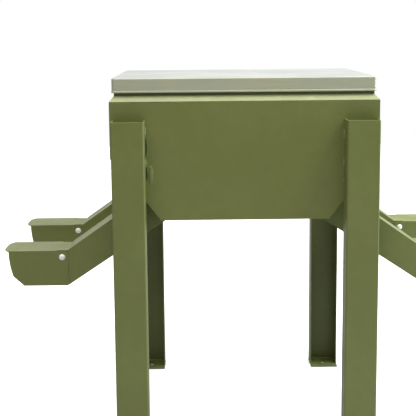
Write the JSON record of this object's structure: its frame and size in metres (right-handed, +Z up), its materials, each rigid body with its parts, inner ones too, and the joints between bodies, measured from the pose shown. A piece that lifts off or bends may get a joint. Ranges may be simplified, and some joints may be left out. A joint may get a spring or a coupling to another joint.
{
  "type": "chicken feeder",
  "caption": "Free-standing hopper feeder for poultry: olive sheet-steel bin with a hinged pan lid on channel legs, and covered chutes down to flap-covered troughs on both sides.",
  "frame": {"origin": "on the ground, under the middle of the feeder", "axes": "+Z up; +X along the hopper towards the right-hand troughs; the front faces -Y and the lid's hinges are at +Y"},
  "size_m": [0.913, 0.41, 0.684],
  "materials": {
    "olive_powder_coat": "satin olive powder coat on sheet steel",
    "bare_lid_sheet": "bare, faintly brushed stainless sheet",
    "plated_hinge": "dull zinc plate",
    "plain_rivet": "bright plain metal"
  },
  "bodies": {
    "stand": {"hopper_front_panel": "olive_powder_coat", "hopper_back_panel": "olive_powder_coat", "hopper_side_right": "olive_powder_coat", "hopper_side_left": "olive_powder_coat", "hopper_floor": "olive_powder_coat", "feed_ridge": "olive_powder_coat", "hopper_collar": "olive_powder_coat", "chute_cover_front_right": "olive_powder_coat", "chute_floor_front_right": "olive_powder_coat", "trough_front_right": "olive_powder_coat", "trough_pivots_front_right": "plain_rivet", "leg_front_right": "olive_powder_coat", "foot_front_right": "olive_powder_coat", "chute_cover_front_left": "olive_powder_coat", "chute_floor_front_left": "olive_powder_coat", "trough_front_left": "olive_powder_coat", "trough_pivots_front_left": "plain_rivet", "leg_front_left": "olive_powder_coat", "foot_front_left": "olive_powder_coat", "chute_cover_rear_right": "olive_powder_coat", "chute_floor_rear_right": "olive_powder_coat", "trough_rear_right": "olive_powder_coat", "trough_pivots_rear_right": "plain_rivet", "leg_rear_right": "olive_powder_coat", "foot_rear_right": "olive_powder_coat", "chute_cover_rear_left": "olive_powder_coat", "chute_floor_rear_left": "olive_powder_coat", "trough_rear_left": "olive_powder_coat", "trough_pivots_rear_left": "plain_rivet", "leg_rear_left": "olive_powder_coat", "foot_rear_left": "olive_powder_coat", "hinge_fixed_right": "plated_hinge", "hinge_pin_right": "plain_rivet", "hinge_fixed_rivets_right": "plain_rivet", "hinge_fixed_left": "plated_hinge", "hinge_pin_left": "plain_rivet", "hinge_fixed_rivets_left": "plain_rivet"},
    "lid": {"lid_pan": "bare_lid_sheet", "hinge_moving_right": "plated_hinge", "hinge_moving_rivets_right": "plain_rivet", "hinge_moving_left": "plated_hinge", "hinge_moving_rivets_left": "plain_rivet"},
    "flap_front_right_body": {"trough_flap_front_right": "olive_powder_coat"},
    "flap_front_left_body": {"trough_flap_front_left": "olive_powder_coat"},
    "flap_rear_right_body": {"trough_flap_rear_right": "olive_powder_coat"},
    "flap_rear_left_body": {"trough_flap_rear_left": "olive_powder_coat"}
  },
  "joints": [
    {"name": "lid_hinge", "type": "hinge", "parent": "stand", "child": "lid", "pos_m": [0, 0.1679, 0.6585], "axis": [-1, 0, 0], "range_deg": [0, 150]},
    {"name": "flap_front_right_hinge", "type": "hinge", "parent": "stand", "child": "flap_front_right_body", "pos_m": [0.345, -0.108, 0.3465], "axis": [0, -1, 0], "range_deg": [0, 70]},
    {"name": "flap_front_left_hinge", "type": "hinge", "parent": "stand", "child": "flap_front_left_body", "pos_m": [-0.345, -0.108, 0.3465], "axis": [0, 1, 0], "range_deg": [0, 70]},
    {"name": "flap_rear_right_hinge", "type": "hinge", "parent": "stand", "child": "flap_rear_right_body", "pos_m": [0.345, 0.108, 0.3465], "axis": [0, -1, 0], "range_deg": [0, 70]},
    {"name": "flap_rear_left_hinge", "type": "hinge", "parent": "stand", "child": "flap_rear_left_body", "pos_m": [-0.345, 0.108, 0.3465], "axis": [0, 1, 0], "range_deg": [0, 70]}
  ]
}
